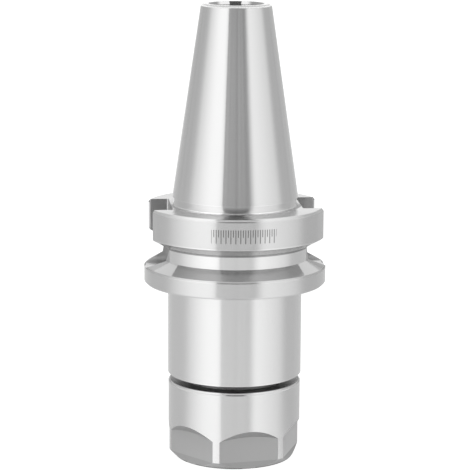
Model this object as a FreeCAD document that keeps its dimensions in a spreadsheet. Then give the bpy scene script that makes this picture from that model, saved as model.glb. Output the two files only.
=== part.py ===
import FreeCAD, Part
import os
import re
import Sketcher
from FreeCAD import Placement, Rotation, Vector

# Collet chuck holder: a 7:24 taper with a V flange, a spring collet and a hexagon clamping nut.
# Z runs up the axis from the gauge plane at Z = 0 to the taper's small end.
# The drive slots open along +X and -X, and the whole chuck stands on the face of its nut.

SIZES = {
    # taper and its neck
    "gauge_diameter": 31.75,
    "taper_rise": 7,
    "taper_run": 24,
    "taper_length": 48.4,
    "small_end_chamfer": 0.5,
    "neck_diameter": 30.8,
    "neck_edge": 0.25,
    "neck_foot": 0.35,
    # flange with its gripper groove
    "flange_setback": 2,
    "flange_thickness": 20,
    "flange_diameter": 46,
    "flange_chamfer": 0.6,
    "groove_distance": 13.6,
    "groove_width": 8,
    "groove_root_diameter": 38,
    "groove_face_angle": 30,
    "groove_chamfer": 0.3,
    # drive slots
    "slot_width": 16.1,
    "slot_floor": 16.3,
    "slot_depth": 16.2,
    "slot_chamfer": 0.6,
    "slot_corner": 0.5,
    "slot_count": 2,
    # pull stud bore and the bore behind the collet
    "pilot_diameter": 12.5,
    "pilot_depth": 7,
    "pilot_chamfer": 0.7,
    "stud_bore_diameter": 10.2,
    "back_bore_diameter": 13,
    "back_bore_length": 44,
    "drill_angle": 59,
    # nut thread, left out of the solids between its core and its outside
    "thread_diameter": 25,
    "thread_depth": 0.92,
    "thread_clearance": 0.05,
    # cylindrical body and threaded nose
    "body_diameter": 34,
    "body_reach": 45.4,
    "body_chamfer": 0.2,
    "nose_length": 13.6,
    "nose_relief_depth": 0.38,
    "nose_relief_length": 2.4,
    "nose_chamfer": 0.5,
    # collet and its seat
    "collet_diameter": 21,
    "collet_length": 31.5,
    "collet_half_angle": 8,
    "collet_head": 6.3,
    "collet_groove_diameter": 17.5,
    "collet_groove_width": 2.9,
    "collet_lip_diameter": 19.7,
    "collet_lip_land": 0.4,
    "clamp_face_length": 2.3,
    "clamp_angle": 30,
    "collet_bore_diameter": 10,
    "collet_chamfer": 0.4,
    "slit_width": 0.8,
    "front_slit_length": 23,
    "back_slit_length": 24.5,
    "slit_count": 8,
    "seat_clearance": 0.03,
    "seat_extra_depth": 1.2,
    # clamping nut
    "nut_diameter": 33.7,
    "nut_length": 20.1,
    "nut_gap": 1.7,
    "nut_chamfer": 0.5,
    "nut_heel": 1.6,
    "nut_face_edge": 0.3,
    "nut_bore_chamfer": 0.6,
    "nut_run_out": 0.7,
    "nut_chamber_diameter": 22.6,
    "nut_turned_by": 8.9,
    "face_recess": 0.3,
    # off-centre lip in the nut that pulls the collet out by its groove
    "lip_clearance": 0.4,
    "lip_thickness": 1.4,
    "lip_bore_diameter": 20.2,
    "lip_offset": 0.75,
    "lip_stock": 0.3,
    "lip_pocket_diameter": 20.7,
    # wrench flats, cut by a face mill with a bevelled edge
    "hexagon_width": 30,
    "hexagon_height": 8.25,
    "hexagon_count": 6,
    "mill_diameter": 65,
    # how far every cut runs past the surface
    "overrun": 1,
}

FULL_TURN = 360
HALF_TURN = 180
TOUCH = 1e-4  # two places nearer than this are the same

# how a sketch numbers its own axes and the points of its lines
ACROSS_INDEX, UP_INDEX = -1, -2
START_INDEX, END_INDEX, CENTRE_INDEX = 1, 2, 3
GUESS = 1.0  # a new constraint's value, until its expression sets it

# heights and radii that follow from the sizes
flange_bottom = "-(flange_setback + flange_thickness)"
groove_depth = "(flange_diameter - groove_root_diameter) / 2"
groove_root_half = f"(groove_width / 2 - {groove_depth} * tan(groove_face_angle))"
nose_core = "(thread_diameter / 2 - thread_depth)"
nut_bore = "(thread_diameter / 2 + thread_clearance)"
nose_end = "-(body_reach + nose_length)"
nut_top = "-(body_reach + nut_gap)"
nut_face = f"({nut_top} - nut_length)"
collet_face = f"({nut_face} + face_recess)"
clamp_face_top = f"({collet_face} + clamp_face_length)"
collet_groove_bottom = f"({clamp_face_top} + collet_lip_land)"
collet_shoulder = f"({collet_face} + collet_head)"
collet_back = f"({collet_face} + collet_length)"
seat_bottom = f"({collet_back} + seat_extra_depth)"
lip_bottom = f"({collet_groove_bottom} + lip_clearance)"
lip_top = f"({lip_bottom} + lip_thickness)"

doc = FreeCAD.newDocument("ColletChuckHolder")


def make_sheet():
    sheet = doc.addObject("Spreadsheet::Sheet", "Sizes")
    for row, (name, number) in enumerate(SIZES.items(), start=1):
        sheet.set(f"A{row}", name.replace("_", " "))
        sheet.set(f"B{row}", str(number))
        sheet.setAlias(f"B{row}", name)
    doc.recompute()
    return sheet


def bind(thing, prop, text):
    # ties a property to an expression of sizes, each read from the sheet
    def from_sheet(word):
        return f"Sizes.{word[0]}" if word[0] in SIZES else word[0]
    thing.setExpression(prop, re.sub(r"[a-z]\w*", from_sheet, text))


def taper_radius(height):
    return f"(gauge_diameter - ({height}) * taper_rise / taper_run) / 2"


def collet_radius(height):
    # the collet's long cone
    return f"collet_diameter / 2 - ({height} - {collet_shoulder}) * tan(collet_half_angle)"


def clamp_radius(height):
    # the collet's short cone, which the nut presses on
    return f"collet_lip_diameter / 2 - ({clamp_face_top} - {height}) * tan(clamp_angle)"


def new_body(name):
    body = doc.addObject("PartDesign::Body", name)
    body.Label = name
    return body


def origin_part(body, role):
    return next(part for part in body.Origin.OriginFeatures if part.Role == role)


def new_sketch(body, name, plane):
    sketch = body.newObject("Sketcher::SketchObject", name)
    sketch.AttachmentSupport = [(origin_part(body, plane), "")]
    sketch.MapMode = "FlatFace"
    return sketch


def tie_point(sketch, curve, point, kind, axis, text):
    # holds a line's start or a circle's centre at a distance from one axis of its sketch, or on that axis
    if text == "0":
        sketch.addConstraint(Sketcher.Constraint("PointOnObject", curve, point, axis))
        return
    origin = (ACROSS_INDEX, START_INDEX)
    place = sketch.addConstraint(Sketcher.Constraint(kind, *origin, curve, point, GUESS))
    bind(sketch, f"Constraints[{place}]", text)


def outline(body, name, plane, corners):
    # a closed outline of straight lines, its corners given as pairs of expressions
    sketch = new_sketch(body, name, plane)
    count = len(corners)
    # the lines start out along a parabola, so that no two of them lie on each other
    starts = [Vector(step, step * step, 0) for step in range(count)]
    for line in range(count):
        sketch.addGeometry(Part.LineSegment(starts[line], starts[(line + 1) % count]), False)
    for line in range(count):
        following = (line + 1) % count
        sketch.addConstraint(Sketcher.Constraint("Coincident", line, END_INDEX, following, START_INDEX))
    for line, (across, up) in enumerate(corners):
        tie_point(sketch, line, START_INDEX, "DistanceX", UP_INDEX, across)
        tie_point(sketch, line, START_INDEX, "DistanceY", ACROSS_INDEX, up)
    return sketch


def round_outline(body, name, plane, radius, across, up):
    # a circle, its centre given as a pair of expressions
    sketch = new_sketch(body, name, plane)
    circle = sketch.addGeometry(Part.Circle(Vector(0, 0, 0), Vector(0, 0, 1), GUESS), False)
    held = sketch.addConstraint(Sketcher.Constraint("Radius", circle, GUESS))
    bind(sketch, f"Constraints[{held}]", radius)
    tie_point(sketch, circle, CENTRE_INDEX, "DistanceX", UP_INDEX, across)
    tie_point(sketch, circle, CENTRE_INDEX, "DistanceY", ACROSS_INDEX, up)
    return sketch


def lift(sketch, height, turned_by="0"):
    # moves a sketch along its own normal and turns it about that normal
    sketch.AttachmentOffset = Placement(Vector(0, 0, 0), Rotation(Vector(0, 0, 1), 0))
    bind(sketch, "AttachmentOffset.Base.z", height)
    bind(sketch, "AttachmentOffset.Rotation.Angle", turned_by)


def turn(body, kind, name, section, axis="V_Axis"):
    # turns a section right round, to add material or to cut it away
    feature = body.newObject(kind, name)
    feature.Profile = section
    feature.ReferenceAxis = (section, [axis])
    feature.Angle = FULL_TURN
    doc.recompute()
    return feature


def cut_down(body, name, sketch, depth=None, upwards=False):
    # cuts a level sketch down, or up, by a depth or right through
    feature = body.newObject("PartDesign::Pocket", name)
    feature.Profile = sketch
    feature.Reversed = upwards
    if depth:
        bind(feature, "Length", depth)
    else:
        feature.Type = "ThroughAll"
    doc.recompute()
    return feature


def repeat_round(body, name, feature, count):
    pattern = body.newObject("PartDesign::PolarPattern", name)
    pattern.Originals = [feature]
    pattern.Axis = (origin_part(body, "Z_Axis"), [""])
    pattern.Angle = FULL_TURN
    bind(pattern, "Occurrences", count)
    body.Tip = pattern
    doc.recompute()
    return pattern


def round_edges(body, name, radius, wanted):
    # rounds every edge of the newest shape that the test picks
    base = body.Tip
    picked = [f"Edge{place}" for place, edge in enumerate(base.Shape.Edges, start=1) if wanted(edge)]
    fillet = body.newObject("PartDesign::Fillet", name)
    fillet.Base = (base, picked)
    bind(fillet, "Radius", radius)
    doc.recompute()
    return fillet


def make_holder():
    body = new_body("holder_body")
    section = outline(body, "outside_section", "XZ_Plane", [
        ("0", "taper_length"),
        (f"{taper_radius('taper_length')} - small_end_chamfer", "taper_length"),
        (taper_radius("taper_length - small_end_chamfer"), "taper_length - small_end_chamfer"),
        ("gauge_diameter / 2", "0"),
        ("neck_diameter / 2", "-neck_edge"),
        ("neck_diameter / 2", "-(flange_setback - neck_foot)"),
        ("neck_diameter / 2 + neck_foot", "-flange_setback"),
        ("flange_diameter / 2 - flange_chamfer", "-flange_setback"),
        ("flange_diameter / 2", "-(flange_setback + flange_chamfer)"),
        ("flange_diameter / 2", f"{flange_bottom} + flange_chamfer"),
        ("flange_diameter / 2 - flange_chamfer", flange_bottom),
        ("body_diameter / 2", flange_bottom),
        ("body_diameter / 2", "-(body_reach - body_chamfer)"),
        ("body_diameter / 2 - body_chamfer", "-body_reach"),
        (f"{nose_core} - nose_relief_depth", "-body_reach"),
        (f"{nose_core} - nose_relief_depth", "-(body_reach + nose_relief_length)"),
        (nose_core, "-(body_reach + nose_relief_length + nose_chamfer)"),
        (nose_core, f"{nose_end} + nose_chamfer"),
        (f"{nose_core} - nose_chamfer", nose_end),
        ("0", nose_end),
    ])
    turn(body, "PartDesign::Revolution", "turned_outside", section)
    cut_gripper_groove(body)
    cut_bores(body)
    cut_drive_slots(body)
    return body


def cut_gripper_groove(body):
    # sloping faces meet the rim through a small chamfer
    rim = "(groove_width / 2 - groove_chamfer * tan(groove_face_angle))"
    outer = f"({rim} + groove_chamfer + overrun)"
    section = outline(body, "groove_section", "XZ_Plane", [
        ("groove_root_diameter / 2", f"-groove_distance + {groove_root_half}"),
        ("flange_diameter / 2 - groove_chamfer", f"-groove_distance + {rim}"),
        ("flange_diameter / 2 + overrun", f"-groove_distance + {outer}"),
        ("flange_diameter / 2 + overrun", f"-groove_distance - {outer}"),
        ("flange_diameter / 2 - groove_chamfer", f"-groove_distance - {rim}"),
        ("groove_root_diameter / 2", f"-groove_distance - {groove_root_half}"),
    ])
    turn(body, "PartDesign::Groove", "gripper_groove", section)


def cut_bores(body):
    # one line of bores: pull stud pilot, stud thread bore, back bore and the collet's seat
    back_bore_top = f"({seat_bottom} + back_bore_length)"
    drill_point = "(back_bore_diameter - stud_bore_diameter) / 2 / tan(drill_angle)"
    past_nose = f"({nose_end} - overrun)"
    section = outline(body, "bore_section", "XZ_Plane", [
        ("0", "taper_length + overrun"),
        ("pilot_diameter / 2 + pilot_chamfer + overrun", "taper_length + overrun"),
        ("pilot_diameter / 2", "taper_length - pilot_chamfer"),
        ("pilot_diameter / 2", "taper_length - pilot_depth"),
        ("stud_bore_diameter / 2", "taper_length - pilot_depth"),
        ("stud_bore_diameter / 2", f"{back_bore_top} + {drill_point}"),
        ("back_bore_diameter / 2", back_bore_top),
        ("back_bore_diameter / 2", seat_bottom),
        (f"{collet_radius(seat_bottom)} + seat_clearance", seat_bottom),
        (f"{collet_radius(past_nose)} + seat_clearance", past_nose),
        ("0", past_nose),
    ])
    turn(body, "PartDesign::Groove", "bore_line", section)


def cut_drive_slots(body):
    # flat-floored slots through the flange's upper part, with a round end that dips into the lower rim
    mouth = "(sqrt((flange_diameter / 2)^2 - (slot_width / 2)^2) - slot_chamfer)"
    outside = "(flange_diameter / 2 + overrun)"
    sketch = outline(body, "slot_outline", "XY_Plane", [
        ("slot_floor", "-slot_width / 2"),
        (mouth, "-slot_width / 2"),
        (outside, f"-slot_width / 2 - ({outside} - {mouth})"),
        (outside, f"slot_width / 2 + ({outside} - {mouth})"),
        (mouth, "slot_width / 2"),
        ("slot_floor", "slot_width / 2"),
    ])
    lift(sketch, "-flange_setback + overrun")
    slot = cut_down(body, "drive_slot", sketch, "slot_depth - slot_width / 2 + overrun")
    repeat_round(body, "both_slots", slot, "slot_count")

    def in_a_corner(edge):
        # an upright edge where a slot's floor meets one of its walls
        middle = edge.BoundBox.Center
        upright = edge.BoundBox.XLength < TOUCH and edge.BoundBox.YLength < TOUCH
        at_floor = abs(abs(middle.x) - size.slot_floor) < TOUCH
        return upright and at_floor and abs(abs(middle.y) - size.slot_width / 2) < TOUCH

    round_edges(body, "slot_corners", "slot_corner", in_a_corner)
    end = round_outline(body, "slot_end_circle", "YZ_Plane", "slot_width / 2",
                        "0", "-(flange_setback + slot_depth - slot_width / 2)")
    lift(end, "slot_floor")
    slot_end = cut_down(body, "slot_end", end, upwards=True)
    repeat_round(body, "both_slot_ends", slot_end, "slot_count")


def make_nut():
    body = new_body("clamping_nut")
    thread_end = f"{nose_end} - nut_run_out"
    section = outline(body, "blank_section", "XZ_Plane", [
        (f"{nut_bore} + nut_bore_chamfer", nut_top),
        ("nut_diameter / 2 - nut_chamfer", nut_top),
        ("nut_diameter / 2", f"{nut_top} - nut_chamfer"),
        ("nut_diameter / 2", f"{nut_face} + nut_face_edge + nut_heel"),
        ("nut_diameter / 2 - nut_heel", f"{nut_face} + nut_face_edge"),
        ("nut_diameter / 2 - nut_heel - nut_face_edge", nut_face),
        (f"{clamp_radius(nut_face)} + seat_clearance", nut_face),
        ("collet_lip_diameter / 2 + seat_clearance", clamp_face_top),
        ("lip_pocket_diameter / 2", clamp_face_top),
        ("lip_pocket_diameter / 2", lip_bottom),
        ("lip_bore_diameter / 2 - lip_offset - lip_stock", lip_bottom),
        ("lip_bore_diameter / 2 - lip_offset - lip_stock", lip_top),
        ("nut_chamber_diameter / 2", lip_top),
        ("nut_chamber_diameter / 2", thread_end),
        (nut_bore, thread_end),
        (nut_bore, f"{nut_top} - nut_bore_chamfer"),
    ])
    turn(body, "PartDesign::Revolution", "turned_blank", section)
    bore_lip(body)
    mill_hexagon(body)
    bind(body, "Placement.Rotation.Angle", "nut_turned_by")
    return body


def bore_lip(body):
    # the lip's bore is a circle with its centre beside the axis
    sketch = round_outline(body, "lip_circle", "XY_Plane", "lip_bore_diameter / 2", "lip_offset", "0")
    lift(sketch, lip_top)
    cut_down(body, "off_centre_lip", sketch, "lip_thickness")


def mill_hexagon(body):
    # the mill stands square to a flat, and its bevelled edge leaves the arch above the flat
    reach = "((nut_diameter - hexagon_width) / 2 + overrun)"
    sketch = outline(body, "mill_section", "YZ_Plane", [
        ("-hexagon_width / 2", "0"),
        ("-hexagon_width / 2", "mill_diameter / 2"),
        (f"-hexagon_width / 2 - {reach}", f"mill_diameter / 2 + {reach}"),
        (f"-hexagon_width / 2 - {reach}", "0"),
    ])
    sketch.AttachmentOffset = Placement(Vector(0, 0, 0), Rotation())
    bind(sketch, "AttachmentOffset.Base.y", f"{nut_face} + hexagon_height - mill_diameter / 2")
    flat = turn(body, "PartDesign::Groove", "wrench_flat", sketch, "H_Axis")
    repeat_round(body, "hexagon", flat, "hexagon_count")


def make_collet():
    body = new_body("collet")
    groove_top = f"({collet_groove_bottom} + collet_groove_width)"
    section = outline(body, "collet_section", "XZ_Plane", [
        ("collet_bore_diameter / 2 + collet_chamfer", collet_face),
        (clamp_radius(collet_face), collet_face),
        ("collet_lip_diameter / 2", clamp_face_top),
        ("collet_lip_diameter / 2", collet_groove_bottom),
        ("collet_groove_diameter / 2", collet_groove_bottom),
        ("collet_groove_diameter / 2", groove_top),
        ("collet_diameter / 2", groove_top),
        ("collet_diameter / 2", collet_shoulder),
        (collet_radius(collet_back), collet_back),
        ("collet_bore_diameter / 2", collet_back),
        ("collet_bore_diameter / 2", f"{collet_face} + collet_chamfer"),
    ])
    turn(body, "PartDesign::Revolution", "turned_collet", section)
    slit = [
        ("collet_bore_diameter / 2 - overrun", "-slit_width / 2"),
        ("collet_diameter / 2 + overrun", "-slit_width / 2"),
        ("collet_diameter / 2 + overrun", "slit_width / 2"),
        ("collet_bore_diameter / 2 - overrun", "slit_width / 2"),
    ]
    front = outline(body, "front_slit_outline", "XY_Plane", slit)
    lift(front, f"{collet_face} + front_slit_length")
    repeat_round(body, "front_slits", cut_down(body, "front_slit", front), "slit_count")
    back = outline(body, "back_slit_outline", "XY_Plane", slit)
    lift(back, f"{collet_back} - back_slit_length", f"{HALF_TURN} / slit_count")
    repeat_round(body, "back_slits", cut_down(body, "back_slit", back, upwards=True), "slit_count")
    return body


def check_and_write(bodies):
    for thing in doc.Objects:
        if "Invalid" in thing.State or "Error" in thing.State:
            raise RuntimeError(f"{thing.Name} failed: {thing.State}")
    os.makedirs("parts", exist_ok=True)
    for body in bodies:
        shape = body.Shape
        if shape.isNull() or not shape.isValid():
            raise RuntimeError(f"{body.Label} has no valid shape")
        features = [step for step in body.Group if hasattr(step, "BaseFeature")]
        steps = [f"{step.Name} {step.Shape.Volume:.0f}" for step in features]
        print(f"{body.Label}: {len(shape.Solids)} solid, volumes {', '.join(steps)}")
        shape.exportStep(f"parts/{body.Label}.step")


size = make_sheet()
check_and_write([make_holder(), make_nut(), make_collet()])
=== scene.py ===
from math import cos, pi, radians, sin, tan

import bpy
from mathutils import Matrix, Vector


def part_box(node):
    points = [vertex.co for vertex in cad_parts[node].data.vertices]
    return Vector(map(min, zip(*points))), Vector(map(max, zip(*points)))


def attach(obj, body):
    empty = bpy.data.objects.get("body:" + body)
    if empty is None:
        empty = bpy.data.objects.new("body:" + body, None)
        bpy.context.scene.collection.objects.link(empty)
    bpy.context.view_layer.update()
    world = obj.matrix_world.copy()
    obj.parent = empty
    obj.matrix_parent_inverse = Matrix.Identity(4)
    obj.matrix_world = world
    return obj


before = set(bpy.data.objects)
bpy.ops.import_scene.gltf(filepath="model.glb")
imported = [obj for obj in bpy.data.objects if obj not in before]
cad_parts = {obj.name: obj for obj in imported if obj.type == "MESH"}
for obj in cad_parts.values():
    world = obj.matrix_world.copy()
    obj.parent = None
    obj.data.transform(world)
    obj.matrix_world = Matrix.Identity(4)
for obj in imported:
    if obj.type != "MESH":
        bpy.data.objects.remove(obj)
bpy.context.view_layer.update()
mm = 0.001
print("frame loaded:", sorted(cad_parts))


def linearColor(hexCode):
    # sRGB hex to the linear RGBA that the sockets take
    channels = [int(hexCode[i:i + 2], 16) / 255 for i in (1, 3, 5)]
    return [c / 12.92 if c <= 0.04045 else ((c + 0.055) / 1.055) ** 2.4 for c in channels] + [1]


def addNode(tree, kind, inputs={}, **settings):
    # adds a node with its settings; each input, by name or number, takes a value, a socket or
    # another node, whose first output in use is linked
    node = tree.nodes.new("ShaderNode" + kind)
    for name, value in settings.items():
        setattr(node, name, value)
    for name, value in inputs.items():
        if isinstance(value, bpy.types.Node):
            value = next(output for output in value.outputs if output.enabled)
        if isinstance(value, bpy.types.NodeSocket):
            tree.links.new(value, node.inputs[name])
        else:
            node.inputs[name].default_value = value
    return node


def newMaterial(name):
    material = bpy.data.materials.new(name)
    material.use_nodes = True
    material.node_tree.nodes.clear()
    return material, material.node_tree


def above(value, edge, soft):
    return value, edge - soft / 2, edge + soft / 2


def below(value, edge, soft):
    return value, edge + soft / 2, edge - soft / 2


def softSteps(tree, *steps):
    # multiplies soft steps: each goes from 0 to 1, or between its own two levels, while its value
    # goes from start to end
    total = None
    for value, start, end, *levels in steps:
        first, last = levels or (0, 1)
        step = addNode(tree, "MapRange", {"Value": value, "From Min": start, "From Max": end,
                                          "To Min": first, "To Max": last},
                       interpolation_type="SMOOTHSTEP")
        total = addNode(tree, "Math", {0: total, 1: step}, operation="MULTIPLY") if total else step
    return total


# Lights and floor

cameraTurn = radians(5.8)     # the camera stands this far left of the axis that looks along +Y
white = "#FFFFFF"
studio = {"worldWhite": 1.0, "worldFill": 0.8, "floorHeight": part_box("clamping_nut")[0].z}
# show is what the camera sees of the sheet, lit and bounce are its colours there and for plain light
floorSheet = {"size": 14, "show": 0.88, "lit": "#A5A5A5", "bounce": "#E6E6E6", "gloss": 0.49,
              "glossRoughness": 0.15,
              # painted pool of light: the metal sees the sheet brightest in front, between the soft boxes
              "fades": [("Y", -0.8, 0.15, 1.0, 0.5), ("X", 0.25, 0.8, 1, 0.76), ("X", -0.8, -0.25, 0.92, 1)]}
# a lamp's face adds its glow to the white room behind it; it starts at edge, is full after rise and
# fades out from fall on, counted across it from the side that is nearer to the camera
softBoxes = {
    "key_left": {"azimuth": -59.3, "distance": 0.9, "width": 1.3, "height": 1.1, "middle": 0.55,
                 "glow": 0.58, "edge": 0.6, "rise": 0.15, "fall": 0.3},
    "fill_right": {"azimuth": 68, "distance": 0.9, "width": 1.2, "height": 1.1, "middle": 0.55,
                   "glow": 0.34, "edge": 0.6, "rise": 0.12, "fall": 0.1},
}
# grey cards round the part, sizes in metres: shades at the foot, in the middle and at the top, edges
# as the shares of the width that fade into the white room at the left and the right, tilt as what
# the shade is multiplied by at the left and the right, and folds as how fine and how strong
cards = {
    "front_card": {"azimuth": 5.3, "distance": 1.1, "width": 1.2, "height": 1.4,
                   "shades": (0.36, 0.66, 0.22), "edges": (0.01, 0.19), "tilt": (1.17, 0.97),
                   "folds": (9, 0.13)},
    "side_card_left": {"azimuth": -123, "distance": 1.1, "width": 2.1, "height": 0.56,
                       "shades": (0.66, 0.66, 0.66), "edges": (0.15, 0.38), "tilt": (1, 1),
                       "folds": (9, 0.04)},
    "side_card_right": {"azimuth": 127, "distance": 1.1, "width": 2.3, "height": 0.56,
                        "shades": (0.67, 0.67, 0.67), "edges": (0.3, 0.1), "tilt": (1, 1),
                        "folds": (9, 0.04)},
}
# where a card's foot turns into its middle and the middle into its top, in shares of its height
cardSteps = {"foot": (-0.4, -0.3), "top": (-0.32, -0.1)}
topCard = {"left": -0.26, "right": 0.36, "front": -1.1, "back": 0.12, "height": 1.4, "shade": 0.08}
# stands a little left of the front, higher than the part, and looks down at it
photoCamera = {"distance": 526.4 * mm, "height": 90.5 * mm, "down": radians(10.82),
               "roll": radians(0.34), "lens": 162.1, "sensor": 36}


def standAround(azimuth, distance, middle):
    # a place round the part and a turn that faces its axis; azimuth 0 is behind the camera
    angle = radians(azimuth) - cameraTurn
    place = Vector((sin(angle) * distance, -cos(angle) * distance, middle + studio["floorHeight"]))
    return Matrix.Translation(place) @ Matrix.Rotation(angle, 4, "Z") @ Matrix.Rotation(pi / 2, 4, "X")


def seenRays(tree):
    # 1 for every ray that can see the white room, and the glossy rays by themselves
    rays = addNode(tree, "LightPath").outputs
    seen = rays["Is Camera Ray"]
    for kind in ("Is Glossy Ray", "Is Transmission Ray"):
        seen = addNode(tree, "Math", {0: seen, 1: rays[kind]}, operation="MAXIMUM")
    return seen, rays["Is Glossy Ray"]


def buildWorld():
    world = bpy.data.worlds.new("studio_world")
    bpy.context.scene.world = world
    world.use_nodes = True
    tree = world.node_tree
    tree.nodes.clear()
    seen = seenRays(tree)[0]
    fill = addNode(tree, "Background", {"Color": linearColor(white), "Strength": studio["worldFill"]})
    room = addNode(tree, "Background", {"Color": linearColor(white), "Strength": studio["worldWhite"]})
    addNode(tree, "OutputWorld", {"Surface": addNode(tree, "MixShader", {0: seen, 1: fill, 2: room})})


def buildFloor():
    bpy.ops.object.select_all(action="DESELECT")
    bpy.ops.mesh.primitive_plane_add(size=floorSheet["size"], location=(0, 0, studio["floorHeight"]))
    floor = bpy.context.object
    floor.name = "studio_floor"
    # matt white paper, which the camera sees almost as white as the room
    material, tree = newMaterial("white_paper_sweep")
    seen, glossy = seenRays(tree)
    lit = addNode(tree, "BsdfDiffuse", {"Color": linearColor(floorSheet["lit"])})
    fromMiddle = addNode(tree, "VectorMath", {0: addNode(tree, "TexCoord").outputs["Object"]},
                         operation="NORMALIZE")
    toward = addNode(tree, "SeparateXYZ", {"Vector": fromMiddle}).outputs
    # the painted pool of light on the sheet, which only the glossy rays see
    paintedPool = softSteps(tree, *[(toward[axis], *fade) for axis, *fade in floorSheet["fades"]])
    shine = addNode(tree, "Mix", {0: glossy, 2: floorSheet["show"], 3: paintedPool})
    glow = addNode(tree, "Emission", {"Color": linearColor(white), "Strength": shine})
    both = addNode(tree, "AddShader", {0: lit, 1: glow})
    # in the metal's reflections the sheet has its gloss, which carries the soft boxes down below
    # the horizon
    gloss = addNode(tree, "BsdfGlossy", {"Color": linearColor(white),
                                         "Roughness": floorSheet["glossRoughness"]})
    glossShare = addNode(tree, "Math", {0: glossy, 1: floorSheet["gloss"]}, operation="MULTIPLY")
    both = addNode(tree, "MixShader", {0: glossShare, 1: both, 2: gloss})
    plain = addNode(tree, "BsdfDiffuse", {"Color": linearColor(floorSheet["bounce"])})
    addNode(tree, "OutputMaterial", {"Surface": addNode(tree, "MixShader", {0: seen, 1: plain, 2: both})})
    floor.data.materials.append(material)


def buildSoftBoxes():
    for name, box in softBoxes.items():
        lamp = bpy.data.lights.new(name, "AREA")
        lamp.shape = "RECTANGLE"
        lamp.size = box["width"]
        lamp.size_y = box["height"]
        # the lamp's watts that give the wanted brightness of its face
        lamp.energy = box["glow"] * box["width"] * box["height"] * pi
        lamp.use_nodes = True
        tree = lamp.node_tree
        tree.nodes.clear()
        face = addNode(tree, "NewGeometry").outputs["Parametric"]
        across = addNode(tree, "SeparateXYZ", {"Vector": face}).outputs["X"]
        if box["azimuth"] < 0:
            across = addNode(tree, "Math", {0: 1.0, 1: across}, operation="SUBTRACT")
        spread = softSteps(tree, (across, 0, box["rise"], box["edge"], 1), (across, box["fall"], 1, 1, 0))
        addNode(tree, "OutputLight", {"Surface": addNode(tree, "Emission", {"Strength": spread})})
        holder = bpy.data.objects.new(name, lamp)
        bpy.context.scene.collection.objects.link(holder)
        holder.matrix_world = standAround(box["azimuth"], box["distance"], box["middle"])
        holder.visible_camera = False


def addCard(name, place):
    # only polished metal sees the cards: they give the dark bands between the soft boxes
    bpy.ops.object.select_all(action="DESELECT")
    bpy.ops.mesh.primitive_plane_add(size=1)
    plane = bpy.context.object
    plane.name = name
    plane.matrix_world = place
    plane.visible_camera = False
    plane.visible_diffuse = False
    plane.visible_shadow = False
    material, tree = newMaterial(name + "_grey")
    plane.data.materials.append(material)
    return tree


def buildCards():
    for name, card in cards.items():
        tree = addCard(name, standAround(card["azimuth"], card["distance"], card["height"] / 2)
                       @ Matrix.Diagonal((card["width"], card["height"], 1, 1)))
        place = addNode(tree, "SeparateXYZ", {"Vector": addNode(tree, "TexCoord").outputs["Object"]}).outputs
        left, right = card["edges"]
        middle = softSteps(tree, (place["X"], -0.5, -0.5 + left), (place["X"], 0.5, 0.5 - right))
        foot, centre, top = card["shades"]
        low = softSteps(tree, (place["Y"], *cardSteps["foot"], foot, centre))
        grey = addNode(tree, "Mix", {0: softSteps(tree, (place["Y"], *cardSteps["top"])), 2: low, 3: top})
        # folds in the cloth, which the metal shows as faint upright streaks
        count, strength = card["folds"]
        folds = addNode(tree, "TexNoise", {"W": place["X"], "Scale": count, "Detail": 2},
                        noise_dimensions="1D")
        streaks = softSteps(tree, (place["X"], -0.5, 0.5, *card["tilt"]),
                            (folds, 0.3, 0.7, 1 - strength, 1 + strength))
        grey = addNode(tree, "Math", {0: grey, 1: streaks}, operation="MULTIPLY")
        shade = addNode(tree, "Mix", {0: middle, 2: 1.0, 3: grey})
        addNode(tree, "OutputMaterial", {"Surface": addNode(tree, "Emission", {"Strength": shade})})
    # the dark strip overhead, narrower than the front card
    middle = Vector(((topCard["left"] + topCard["right"]) / 2, (topCard["front"] + topCard["back"]) / 2,
                     topCard["height"] + studio["floorHeight"]))
    width = topCard["right"] - topCard["left"]
    depth = topCard["back"] - topCard["front"]
    tree = addCard("top_card", Matrix.Rotation(-cameraTurn, 4, "Z") @ Matrix.Translation(middle)
                   @ Matrix.Diagonal((width, depth, 1, 1)))
    addNode(tree, "OutputMaterial",
            {"Surface": addNode(tree, "Emission", {"Strength": topCard["shade"]})})


def buildCamera():
    camera = bpy.data.cameras.new("photo_camera")
    camera.lens = photoCamera["lens"]
    camera.sensor_width = photoCamera["sensor"]
    holder = bpy.data.objects.new("photo_camera", camera)
    bpy.context.scene.collection.objects.link(holder)
    place = Vector((-sin(cameraTurn) * photoCamera["distance"], -cos(cameraTurn) * photoCamera["distance"],
                    photoCamera["height"]))
    holder.matrix_world = (Matrix.Translation(place) @ Matrix.Rotation(-cameraTurn, 4, "Z")
                           @ Matrix.Rotation(pi / 2 - photoCamera["down"], 4, "X")
                           @ Matrix.Rotation(photoCamera["roll"], 4, "Z"))
    bpy.context.scene.camera = holder


buildWorld()
buildFloor()
buildSoftBoxes()
buildCards()
buildCamera()
bpy.context.scene.view_settings.view_transform = "Standard"
print("studio and camera ready")


# Steels

# what the lathe and the grinder leave: rings round the axis, which stretch every highlight along it;
# the rings are drawn about three times as coarse as the real feed, so that they show
turning = {"ringDepth": 0.01, "ringStrength": 0.15, "ringDetail": 3, "ringRoughness": 0.6,
           "stretch": 0.9, "stretchTurn": 0.25}
edgeSoft = 0.02     # mm over which a shaded edge fades in


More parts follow.
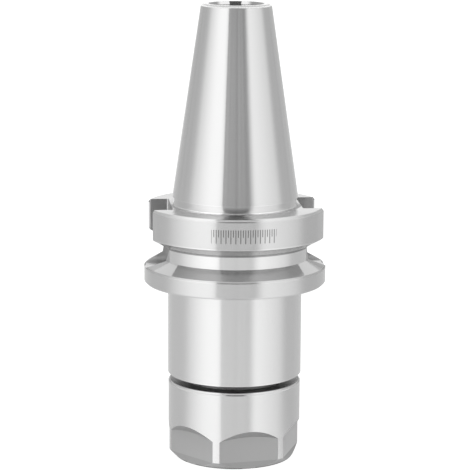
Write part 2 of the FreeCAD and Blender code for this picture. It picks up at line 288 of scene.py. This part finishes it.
def partPlace(tree):
    # Object coordinates in mm: to the right, up the axis and out from it, and how far from the
    # middle to either side and to the front or back
    meters = addNode(tree, "TexCoord").outputs["Object"]
    place = addNode(tree, "Mapping", {"Vector": meters, "Scale": [1 / mm] * 3})
    parts = addNode(tree, "SeparateXYZ", {"Vector": place}).outputs
    flat = addNode(tree, "CombineXYZ", {"X": parts["X"], "Y": parts["Y"]})
    return {"right": parts["X"], "back": parts["Y"], "height": parts["Z"], "flat": flat,
            "sideways": addNode(tree, "Math", {0: parts["X"]}, operation="ABSOLUTE"),
            "depth": addNode(tree, "Math", {0: parts["Y"]}, operation="ABSOLUTE"),
            "out": addNode(tree, "VectorMath", {0: flat}, operation="LENGTH"),
            "outward": addNode(tree, "VectorMath", {0: flat}, operation="NORMALIZE")}


def brokenEdges(tree, place, edges, color):
    # shades each small chamfer as the polished round it is: its normal leans from one angle above
    # the level at the low end to another at the high end
    normal = addNode(tree, "NewGeometry").outputs["Normal"]
    # each edge also takes a colour of its own, which paints a highlight on some and shade on others
    for edge in edges:
        low, high = edge["height"]
        inner, outer = edge["out"]
        lean = addNode(tree, "MapRange", {"Value": place["height"], "From Min": low, "From Max": high,
                                          "To Min": radians(edge["lean"][0]),
                                          "To Max": radians(edge["lean"][1])})
        level = addNode(tree, "VectorMath", {0: place["outward"],
                                             "Scale": addNode(tree, "Math", {0: lean}, operation="COSINE")},
                        operation="SCALE")
        up = addNode(tree, "CombineXYZ", {"Z": addNode(tree, "Math", {0: lean}, operation="SINE")})
        turned = addNode(tree, "VectorMath", {0: level, 1: up}, operation="ADD")
        turned = addNode(tree, "VectorTransform", {"Vector": turned}, vector_type="NORMAL",
                         convert_from="OBJECT", convert_to="WORLD")
        where = softSteps(tree, above(place["height"], low, edgeSoft), below(place["height"], high, edgeSoft),
                          above(place["out"], inner, edgeSoft), below(place["out"], outer, edgeSoft))
        normal = addNode(tree, "Mix", {0: where, 4: normal, 5: turned}, data_type="VECTOR")
        color = addNode(tree, "Mix", {0: where, 6: color, 7: linearColor(edge["color"])}, data_type="RGBA")
    return normal, color


def turnedSteel(name, look):
    material, tree = newMaterial(name)
    place = partPlace(tree)
    if "measure" in look:
        place.update(look["measure"](tree, place))
    # the rings' noise reads only height and radius
    along = addNode(tree, "Math", {0: place["height"], 1: place["out"]}, operation="ADD")
    rings = addNode(tree, "TexNoise", {"W": along, "Scale": 1 / look["ringPitch"],
                                       "Detail": turning["ringDetail"],
                                       "Roughness": turning["ringRoughness"]}, noise_dimensions="1D")
    color = addNode(tree, "Mix", {0: rings, 6: linearColor(look["dull"]), 7: linearColor(look["bright"])},
                    data_type="RGBA")
    roughness = look["roughness"]
    # each region lays its colour and roughness over the rings; some of these colours are painted highlights
    # and shade
    for region in look["regions"]:
        where = softSteps(tree, *[(place[measure], *step) for measure, *step in region["where"]])
        color = addNode(tree, "Mix", {0: where, 6: color, 7: linearColor(region["color"])},
                        data_type="RGBA")
        roughness = addNode(tree, "Mix", {0: where, 2: roughness, 3: region["roughness"]})
    normal, color = brokenEdges(tree, place, look["edges"], color)
    bump = addNode(tree, "Bump", {"Strength": turning["ringStrength"],
                                  "Distance": turning["ringDepth"] * mm, "Height": rings,
                                  "Normal": normal})
    steel = addNode(tree, "BsdfPrincipled", {
        "Base Color": color, "Roughness": roughness, "Metallic": 1, "Anisotropic": turning["stretch"],
        "Anisotropic Rotation": turning["stretchTurn"], "Normal": bump,
        "Tangent": addNode(tree, "Tangent", direction_type="RADIAL", axis="Z")})
    addNode(tree, "OutputMaterial", {"Surface": steel})
    return material


def etchedScale(tree, place):
    # a plain scale on the flange's rim, long and short strokes by turns
    toward = addNode(tree, "Math", {0: place["back"], 1: -1}, operation="MULTIPLY")
    turn = addNode(tree, "Math", {0: addNode(tree, "Math", {0: place["right"], 1: toward},
                                             operation="ARCTAN2")}, operation="DEGREES")
    count = addNode(tree, "Math", {0: turn, 1: 1 / scaleMark["pitch"], 2: 180 / scaleMark["pitch"]},
                    operation="MULTIPLY_ADD")
    nearStroke = addNode(tree, "Math", {0: count, 1: 0.5}, operation="PINGPONG")
    ofTwo = addNode(tree, "Math", {0: count, 1: 2}, operation="MODULO")
    foot = softSteps(tree, (ofTwo, 0.98, 1, scaleMark["longFoot"], scaleMark["shortFoot"]))
    overFoot = addNode(tree, "Math", {0: place["height"], 1: foot}, operation="GREATER_THAN")
    underHead = addNode(tree, "Math", {0: place["height"], 1: scaleMark["head"]}, operation="LESS_THAN")
    return {"scale": softSteps(tree, above(nearStroke, 0.5 - scaleMark["stroke"], scaleMark["strokeSoft"]),
                               above(turn, -scaleMark["half"], scaleMark["endSoft"]),
                               below(turn, scaleMark["half"], scaleMark["endSoft"]),
                               (overFoot, 0, 1), (underHead, 0, 1), (place["out"], *rimFace))}


def wrenchFlats(tree, place):
    # how far a place lies past the nearest wrench flat, off it to either side, and out to the right
    directions = [radians(hexagon["turn"] + 90 + side * 60) for side in range(3)]
    directions.append(radians(hexagon["turn"] - 30))
    reaches = [addNode(tree, "VectorMath", {0: place["flat"], 1: (cos(angle), sin(angle), 0)},
                       operation="DOT_PRODUCT") for angle in directions]
    past = None
    for reach in reaches[:3]:
        reach = addNode(tree, "Math", {0: reach}, operation="ABSOLUTE")
        past = addNode(tree, "Math", {0: past, 1: reach}, operation="MAXIMUM") if past else reach
    past = addNode(tree, "Math", {0: past, 1: hexagon["acrossFlats"] / 2}, operation="SUBTRACT")
    return {"pastFlat": past, "offFlat": addNode(tree, "Math", {0: past}, operation="ABSOLUTE"),
            "rightFlat": reaches[3]}


# all in mm from the gauge plane and the axis, or degrees; a step names a measure, where it starts
# and where it is full
rimFace = (22.9, 22.95)
scaleMark = {"pitch": 1.5, "stroke": 0.17, "strokeSoft": 0.06, "longFoot": -8.0, "shortFoot": -6.4,
             "head": -4.6, "half": 20.25, "endSoft": 0.1}
hexagon = {"turn": 8.9, "acrossFlats": 30, "top": -57.5, "heel": -65.3}
inSlots = [("depth", 8.2, 8.1), ("sideways", 16.1, 16.2), ("height", -17.65, -17.55)]
inMouth = [("height", 46.9, 47.1), ("out", 7.0, 6.9)]
onFlats = [("offFlat", 0.04, 0.01), ("out", 16.84, 16.8)]
overFlats = [("pastFlat", 0.01, 0.04), ("out", 16.84, 16.8)]

# ground tool steel: near white where it faces the soft boxes, grey where it faces the cards
holderLook = {"bright": "#D7D7D7", "dull": "#D3D3D3", "roughness": 0.2, "ringPitch": 0.35,
              "measure": etchedScale, "regions": [
    # the taper
    {"where": [("height", -0.4, -0.1)], "color": "#CCCCCC", "roughness": 0.17},
    # the groove's walls and its root
    {"where": [above("height", -17.6, 0.05), below("height", -9.6, 0.05), ("out", 22.9, 22.6)],
     "color": "#C8C8C8", "roughness": 0.15},
    {"where": [above("height", -15.3, 0.05), below("height", -11.9, 0.05), ("out", 19.1, 19.02)],
     "color": "#D8D8D8", "roughness": 0.17},
    # the upper rim, its etched scale, the small end painted near white as a highlight, and the lower rim
    {"where": [("out", *rimFace), ("height", -12.1, -11.9)], "color": "#CACACA", "roughness": 0.2},
    {"where": [("scale", 0, 1)], "color": "#7C7C7C", "roughness": 0.4},
    {"where": [("height", 47.82, 47.88)], "color": "#F6F6F6", "roughness": 0.2},
    {"where": [("out", *rimFace), ("height", -11.9, -12.1)], "color": "#CCCCCC", "roughness": 0.2},
    # the milled drive slots, the right one darker with painted shade
    {"where": inSlots, "color": "#BEBEBE", "roughness": 0.35},
    {"where": inSlots + [("right", 0, 1)], "color": "#AEAEAE", "roughness": 0.35},
    # the lapped mouth of the stud's hole: a painted highlight, with painted shade at both sides
    {"where": inMouth, "color": "#F0F0F0", "roughness": 0.08},
    {"where": inMouth + [("sideways", 3.2, 4.6)], "color": "#969696", "roughness": 0.2},
    # the bores below it, painted darker as shade inside the hole
    {"where": [("height", 47.1, 46.9), ("out", 6.9, 6.7)], "color": "#A0A0A0", "roughness": 0.3},
    # the nose with its thread, dull with oil
    {"where": [("height", -45.35, -45.5)], "color": "#E8E8E8", "roughness": 0.6},
], "edges": [
    # the small end and its mouth, painted near white as highlights
    {"height": (47.85, 48.42), "out": (8.2, 9.0), "lean": (60, 80), "color": "#F6F6F6"},
    {"height": (47.0, 47.6), "out": (5.8, 7.3), "lean": (90, 90), "color": "#F6F6F6"},
    # the neck, with a painted highlight along the fillet at its foot
    {"height": (-0.26, 0.0), "out": (15.3, 15.95), "lean": (8, 8), "color": "#D6D6D6"},
    {"height": (-1.84, -0.26), "out": (15.3, 15.65), "lean": (28, 8), "color": "#CCCCCC"},
    {"height": (-2.03, -1.84), "out": (15.3, 16.9), "lean": (5, 8), "color": "#F0F0F0"},
    # the flange and its groove, with painted shade at the top corner of the groove's root
    {"height": (-2.6, -2.12), "out": (22.35, 23.05), "lean": (0, 4), "color": "#D3D3D3"},
    {"height": (-2.82, -2.6), "out": (22.35, 23.05), "lean": (22, 30), "color": "#CACACA"},
    {"height": (-9.78, -9.44), "out": (22.65, 23.05), "lean": (0, 4), "color": "#D6D6D6"},
    {"height": (-12.2, -11.88), "out": (18.9, 19.15), "lean": (0, 0), "color": "#989898"},
    {"height": (-17.74, -17.42), "out": (22.65, 23.05), "lean": (0, 4), "color": "#C8C8C8"},
    {"height": (-17.98, -17.74), "out": (22.65, 23.05), "lean": (14, 24), "color": "#CACACA"},
    {"height": (-22.02, -21.38), "out": (22.35, 23.05), "lean": (-45, 0), "color": "#CCCCCC"},
    # the body's lower end
    {"height": (-45.42, -45.18), "out": (16.75, 17.05), "lean": (0, 4), "color": "#E6E6E6"},
]}

# turned nut steel: bright on the lathe's work, matt grey on the milled flats
nutLook = {"bright": "#D4D4D4", "dull": "#D0D0D0", "roughness": 0.2, "ringPitch": 0.35,
           "measure": wrenchFlats, "regions": [
    # the flats, the right one brighter with a painted highlight
    {"where": onFlats, "color": "#C0C0C0", "roughness": 0.5},
    {"where": onFlats + [("rightFlat", 14.8, 14.9)], "color": "#D6D6D6", "roughness": 0.5},
    # the turned heel under the hexagon, painted darker as shade near the floor
    {"where": [below("height", hexagon["heel"], 0.1)], "color": "#B4B4B4", "roughness": 0.5},
    # the bevels that the face mill leaves over the flats, painted darker as shade
    {"where": overFlats + [above("height", hexagon["heel"] + 1, 0.5),
                           below("height", hexagon["top"] + 1, 0.5)],
     "color": "#A8A8A8", "roughness": 0.35},
    # the top face hidden in the gap and the thread inside, both painted dark as shade
    {"where": [("height", -47.13, -47.11), ("out", 16.34, 16.3)], "color": "#646464", "roughness": 0.3},
    {"where": [("out", 12.9, 12.8)], "color": "#646464", "roughness": 0.3},
], "edges": [
    # the top edge, painted dark at its inner end as shade by the gap
    {"height": (-47.76, -47.54), "out": (16.3, 16.9), "lean": (36, 42), "color": "#D4D4D4"},
    {"height": (-47.52, -47.2), "out": (16.3, 16.9), "lean": (3, 7), "color": "#D4D4D4"},
    {"height": (-47.2, -47.08), "out": (16.3, 16.9), "lean": (30, 40), "color": "#808080"},
    # the face's edge, painted dark as the contact shadow on the floor
    {"height": (-67.25, -66.86), "out": (15.1, 15.8), "lean": (-45, -30), "color": "#7C7C7C"},
]}

# ground spring steel: a shade darker than the holder, with finer rings
colletLook = {"bright": "#CCCCCC", "dull": "#C8C8C8", "roughness": 0.22, "ringPitch": 0.3,
              "regions": [], "edges": []}


def dress(node, material):
    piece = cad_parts[node]
    piece.data.materials.clear()
    piece.data.materials.append(material)


holderSteel = turnedSteel("ground_tool_steel", holderLook)
nutSteel = turnedSteel("turned_nut_steel", nutLook)
dress("holder_body", holderSteel)
dress("clamping_nut", nutSteel)
dress("collet", turnedSteel("spring_steel_ground", colletLook))
print("steels ready")


# Threads

# M25 x 1.5: the nose's ridge stands out, the nut's stands in, half a pitch higher; all in mm
thread = {"pitch": 1.5, "flank": radians(30), "turns": 10, "stepsPerTurn": 64, "smooth": radians(25)}
noseThread = {"root": 11.5, "crest": 12.5, "crestHalf": 0.095, "ends": (-58.4, -48.35), "start": -60.6,
              "body": "holder", "slot": "holder_steel"}
nutThread = {"root": 12.62, "crest": 11.7, "crestHalf": 0.12, "ends": (-59.6, -47.8), "start": -61.35,
             "body": "nut", "slot": "nut_steel"}


def windThread(name, own, material):
    # one ridge wound right-handed up the axis, then cut off level at both ends
    rootHalf = own["crestHalf"] + abs(own["crest"] - own["root"]) * tan(thread["flank"])
    section = [(own["root"], -rootHalf), (own["crest"], -own["crestHalf"]),
               (own["crest"], own["crestHalf"]), (own["root"], rootHalf)]
    bpy.ops.object.select_all(action="DESELECT")
    bpy.ops.mesh.primitive_plane_add(size=1)
    ridge = bpy.context.object
    ridge.name = name
    for corner, (out, height) in zip(ridge.data.polygons[0].vertices, section):
        ridge.data.vertices[corner].co = (out * mm, 0, (own["start"] + height) * mm)
    bpy.ops.object.mode_set(mode="EDIT")
    bpy.ops.mesh.select_all(action="SELECT")
    bpy.ops.mesh.delete(type="ONLY_FACE")
    bpy.ops.object.mode_set(mode="OBJECT")
    winding = ridge.modifiers.new("winding", "SCREW")
    winding.screw_offset = thread["pitch"] * mm
    winding.iterations = thread["turns"]
    winding.steps = winding.render_steps = thread["stepsPerTurn"]
    bpy.ops.object.modifier_apply(modifier="winding")
    bpy.ops.object.mode_set(mode="EDIT")
    for end, side in zip(own["ends"], (-1, 1)):
        bpy.ops.mesh.select_all(action="SELECT")
        bpy.ops.mesh.bisect(plane_co=(0, 0, end * mm), plane_no=(0, 0, side), use_fill=True,
                            clear_outer=True)
    bpy.ops.mesh.select_all(action="SELECT")
    bpy.ops.mesh.remove_doubles(threshold=0.001 * mm)
    bpy.ops.mesh.normals_make_consistent(inside=False)
    bpy.ops.object.mode_set(mode="OBJECT")
    bpy.ops.object.shade_smooth_by_angle(angle=thread["smooth"])
    ridge.data.materials.append(material)
    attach(ridge, own["body"])


windThread("nose_thread", noseThread, holderSteel)
windThread("nut_thread", nutThread, nutSteel)
print("threads ready")
